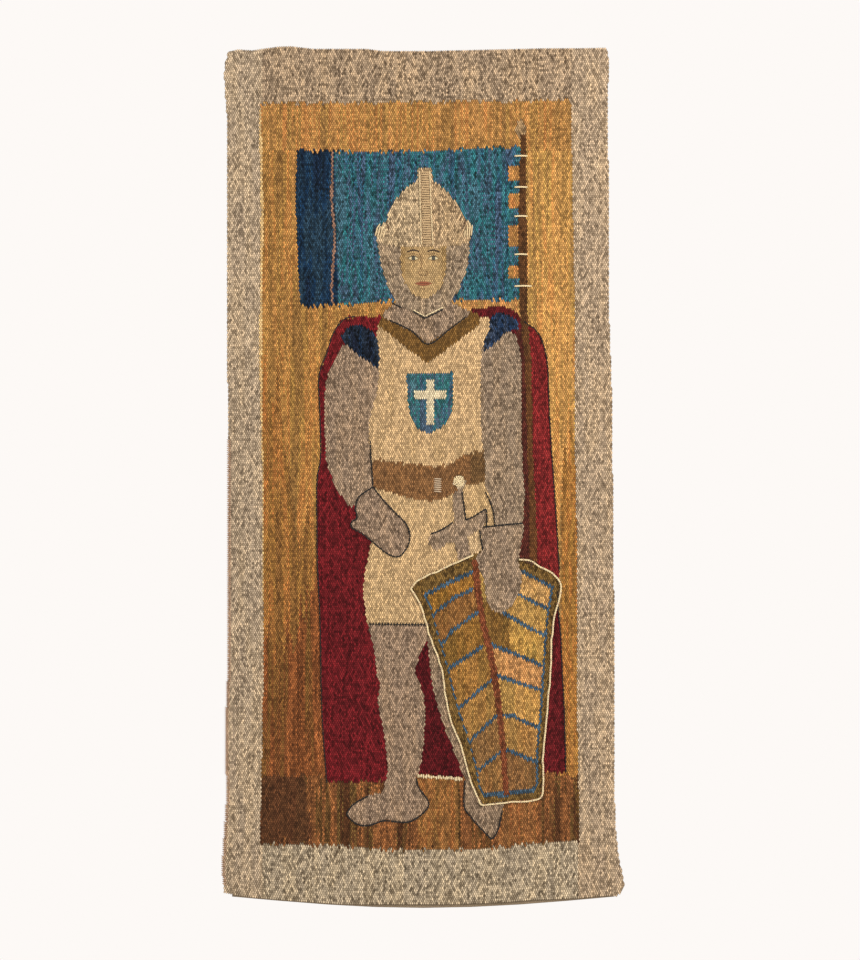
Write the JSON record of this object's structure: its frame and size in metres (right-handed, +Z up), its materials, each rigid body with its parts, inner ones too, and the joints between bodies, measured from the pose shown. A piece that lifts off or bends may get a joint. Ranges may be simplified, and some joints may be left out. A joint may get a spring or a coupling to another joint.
{
  "type": "tapestry wall hanging",
  "caption": "Hand-woven wool wall hanging of a standing knight with banner, sword and kite shield; its back sleeve hangs on a wooden rod in wall hooks.",
  "frame": {"origin": "on the wall plane, midway between the two hooks, at the height of the rod's axis", "axes": "+X to the viewer's right, +Y into the wall, +Z up; the woven front faces -Y"},
  "size_m": [0.748, 0.0545, 1.6041],
  "materials": {
    "belt_brown": "matt hand-spun wool, weft-faced tapestry weave",
    "blue": "matt hand-spun wool, weft-faced tapestry weave",
    "collar_olive": "matt hand-spun wool, weft-faced tapestry weave",
    "cream": "matt hand-spun wool, weft-faced tapestry weave",
    "crest_blue": "matt hand-spun wool, weft-faced tapestry weave",
    "crest_cream": "matt hand-spun wool, weft-faced tapestry weave",
    "crimson": "matt hand-spun wool, weft-faced tapestry weave",
    "dark_crimson": "matt hand-spun wool, weft-faced tapestry weave",
    "gold": "matt hand-spun wool, weft-faced tapestry weave",
    "grey": "matt hand-spun wool, weft-faced tapestry weave",
    "hem_tape": "matt hand-spun wool, weft-faced tapestry weave",
    "mail": "matt hand-spun wool, weft-faced tapestry weave",
    "navy": "matt hand-spun wool, weft-faced tapestry weave",
    "ochre_brown": "matt hand-spun wool, weft-faced tapestry weave",
    "pole_brown": "matt hand-spun wool, weft-faced tapestry weave",
    "pole_olive": "matt hand-spun wool, weft-faced tapestry weave",
    "ridge_cream": "matt hand-spun wool, weft-faced tapestry weave",
    "rim_olive": "matt hand-spun wool, weft-faced tapestry weave",
    "shield_ochre": "matt hand-spun wool, weft-faced tapestry weave",
    "shield_red": "matt hand-spun wool, weft-faced tapestry weave",
    "skin": "matt hand-spun wool, weft-faced tapestry weave",
    "steel_cream": "matt hand-spun wool, weft-faced tapestry weave",
    "taupe": "matt hand-spun wool, weft-faced tapestry weave",
    "sleeve_cotton": "plain cotton cloth",
    "rod_wood": "sanded, unvarnished",
    "hook_steel": "zinc plated"
  },
  "bodies": {
    "wall_fittings": {"wall_hook_left": "hook_steel", "wall_hook_right": "hook_steel", "hook_screw_left": "hook_steel", "hook_screw_right": "hook_steel"},
    "rod": {"hanging_rod": "rod_wood"},
    "hanging": {"border_left": "taupe", "border_right": "taupe", "border_top": "taupe", "border_bottom": "taupe", "field_top": "gold", "field_floor": "ochre_brown", "field_left": "gold", "field_right": "gold", "field_window": "gold", "flag": "blue", "flag_end_band": "navy", "cloak_left": "crimson", "cloak_shoulder": "crimson", "cloak_middle": "dark_crimson", "cloak_inner": "dark_crimson", "cloak_right": "crimson", "cloak_right_hem": "crimson", "pole_finial": "grey", "pole_upper": "pole_brown", "pole_lower": "pole_olive", "surcoat": "cream", "skirt_left": "cream", "skirt_right": "cream", "skirt_lower": "cream", "leg_left": "mail", "leg_right": "mail", "sword": "grey", "belt": "belt_brown", "pommel": "ridge_cream", "arm_left": "mail", "arm_right": "mail", "collar_band": "collar_olive", "mail_collar": "mail", "coif": "mail", "face": "skin", "helmet_left": "steel_cream", "helmet_right": "steel_cream", "helmet_ridge": "ridge_cream", "shoulder_left": "navy", "shoulder_right": "navy", "chest_shield": "crest_blue", "chest_cross": "crest_cream", "shield_rim": "rim_olive", "shield_field_left": "shield_ochre", "shield_field_right": "shield_ochre", "shield_spine": "shield_red", "mitten_left": "mail", "gauntlet_right": "mail", "hem_left": "hem_tape", "hem_right": "hem_tape", "hem_bottom": "hem_tape", "rod_sleeve": "sleeve_cotton"}
  },
  "joints": [
    {"name": "hanging_swing", "type": "hinge", "parent": "wall_fittings", "child": "hanging", "pos_m": [0, -0.0097, 0], "axis": [-1, 0, 0], "range_deg": [0, 30]},
    {"name": "rod_withdraw", "type": "slide", "parent": "wall_fittings", "child": "rod", "axis": [1, 0, 0], "range_m": [0, 0.64]}
  ]
}
